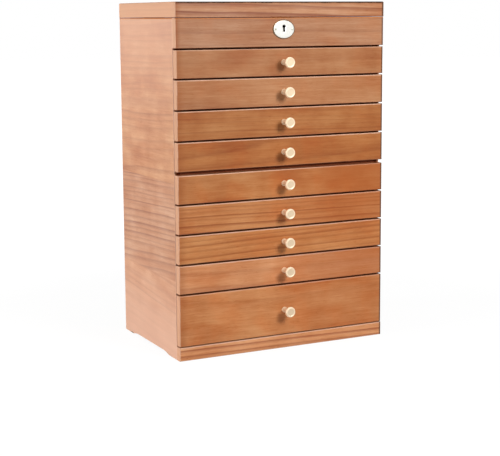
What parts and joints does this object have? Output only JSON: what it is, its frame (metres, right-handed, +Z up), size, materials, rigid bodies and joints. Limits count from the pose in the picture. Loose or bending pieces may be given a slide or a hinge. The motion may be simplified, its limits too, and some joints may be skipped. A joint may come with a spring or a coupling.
{
  "type": "jewellery drawer chest",
  "caption": "Tall free-standing wooden jewellery chest: a lockable mirrored lid over a lined tray, and a stack of drawers that slide out on small round brass knobs.",
  "frame": {"origin": "middle of the floor under the whole object, knobs and hinge barrels included", "axes": "+Z up, -Y out of the drawer fronts, +X to the right hand of someone facing them"},
  "size_m": [0.318, 0.2314, 0.48],
  "materials": {
    "front_wood": "satin",
    "case_wood": "satin",
    "lid_wood": "satin",
    "inner_wood": "matte",
    "velvet": "matte",
    "brass": "polished",
    "mirror_glass": "polished"
  },
  "bodies": {
    "case": {"side_panel_left": "case_wood", "side_panel_right": "case_wood", "back_panel": "inner_wood", "lock_rail": "front_wood", "back_rail": "case_wood", "base_board": "inner_wood", "plinth_rails": "front_wood", "mid_shelf": "case_wood", "tray_floor": "inner_wood", "drawer_runners": "inner_wood", "tray_lining": "velvet", "tray_dividers": "velvet", "escutcheon_plate": "brass", "escutcheon_screws": "brass", "lock_case": "brass", "hinge_lower_leaves": "brass", "hinge_pins": "brass"},
    "lid": {"lid_frame": "lid_wood", "lid_panel": "lid_wood", "lid_mirror": "mirror_glass", "mirror_surround": "velvet", "strike_plate": "brass", "hinge_upper_leaves": "brass"},
    "lock_bolt": {"lock_bolt": "brass"},
    "drawer_1": {"drawer_1_front": "front_wood", "drawer_1_box": "inner_wood", "drawer_1_lining": "velvet", "drawer_1_knob": "brass"},
    "drawer_2": {"drawer_2_front": "front_wood", "drawer_2_box": "inner_wood", "drawer_2_lining": "velvet", "drawer_2_knob": "brass"},
    "drawer_3": {"drawer_3_front": "front_wood", "drawer_3_box": "inner_wood", "drawer_3_lining": "velvet", "drawer_3_knob": "brass"},
    "drawer_4": {"drawer_4_front": "front_wood", "drawer_4_box": "inner_wood", "drawer_4_lining": "velvet", "drawer_4_knob": "brass"},
    "drawer_5": {"drawer_5_front": "front_wood", "drawer_5_box": "inner_wood", "drawer_5_lining": "velvet", "drawer_5_knob": "brass"},
    "drawer_6": {"drawer_6_front": "front_wood", "drawer_6_box": "inner_wood", "drawer_6_lining": "velvet", "drawer_6_knob": "brass"},
    "drawer_7": {"drawer_7_front": "front_wood", "drawer_7_box": "inner_wood", "drawer_7_lining": "velvet", "drawer_7_knob": "brass"},
    "drawer_8": {"drawer_8_front": "front_wood", "drawer_8_box": "inner_wood", "drawer_8_lining": "velvet", "drawer_8_knob": "brass"},
    "drawer_9": {"drawer_9_front": "front_wood", "drawer_9_box": "inner_wood", "drawer_9_lining": "velvet", "drawer_9_knob": "brass"}
  },
  "joints": [
    {"name": "lid_hinge", "type": "hinge", "parent": "case", "child": "lid", "pos_m": [0, 0.11208, 0.45915], "axis": [-1, 0, 0], "range_deg": [0, 97]},
    {"name": "bolt_slide", "type": "slide", "parent": "case", "child": "lock_bolt", "axis": [1, 0, 0], "range_m": [0, 0.0045]},
    {"name": "drawer_1_slide", "type": "slide", "parent": "case", "child": "drawer_1", "axis": [0, -1, 0], "range_m": [0, 0.13]},
    {"name": "drawer_2_slide", "type": "slide", "parent": "case", "child": "drawer_2", "axis": [0, -1, 0], "range_m": [0, 0.13]},
    {"name": "drawer_3_slide", "type": "slide", "parent": "case", "child": "drawer_3", "axis": [0, -1, 0], "range_m": [0, 0.13]},
    {"name": "drawer_4_slide", "type": "slide", "parent": "case", "child": "drawer_4", "axis": [0, -1, 0], "range_m": [0, 0.13]},
    {"name": "drawer_5_slide", "type": "slide", "parent": "case", "child": "drawer_5", "axis": [0, -1, 0], "range_m": [0, 0.13]},
    {"name": "drawer_6_slide", "type": "slide", "parent": "case", "child": "drawer_6", "axis": [0, -1, 0], "range_m": [0, 0.13]},
    {"name": "drawer_7_slide", "type": "slide", "parent": "case", "child": "drawer_7", "axis": [0, -1, 0], "range_m": [0, 0.13]},
    {"name": "drawer_8_slide", "type": "slide", "parent": "case", "child": "drawer_8", "axis": [0, -1, 0], "range_m": [0, 0.13]},
    {"name": "drawer_9_slide", "type": "slide", "parent": "case", "child": "drawer_9", "axis": [0, -1, 0], "range_m": [0, 0.13]}
  ]
}
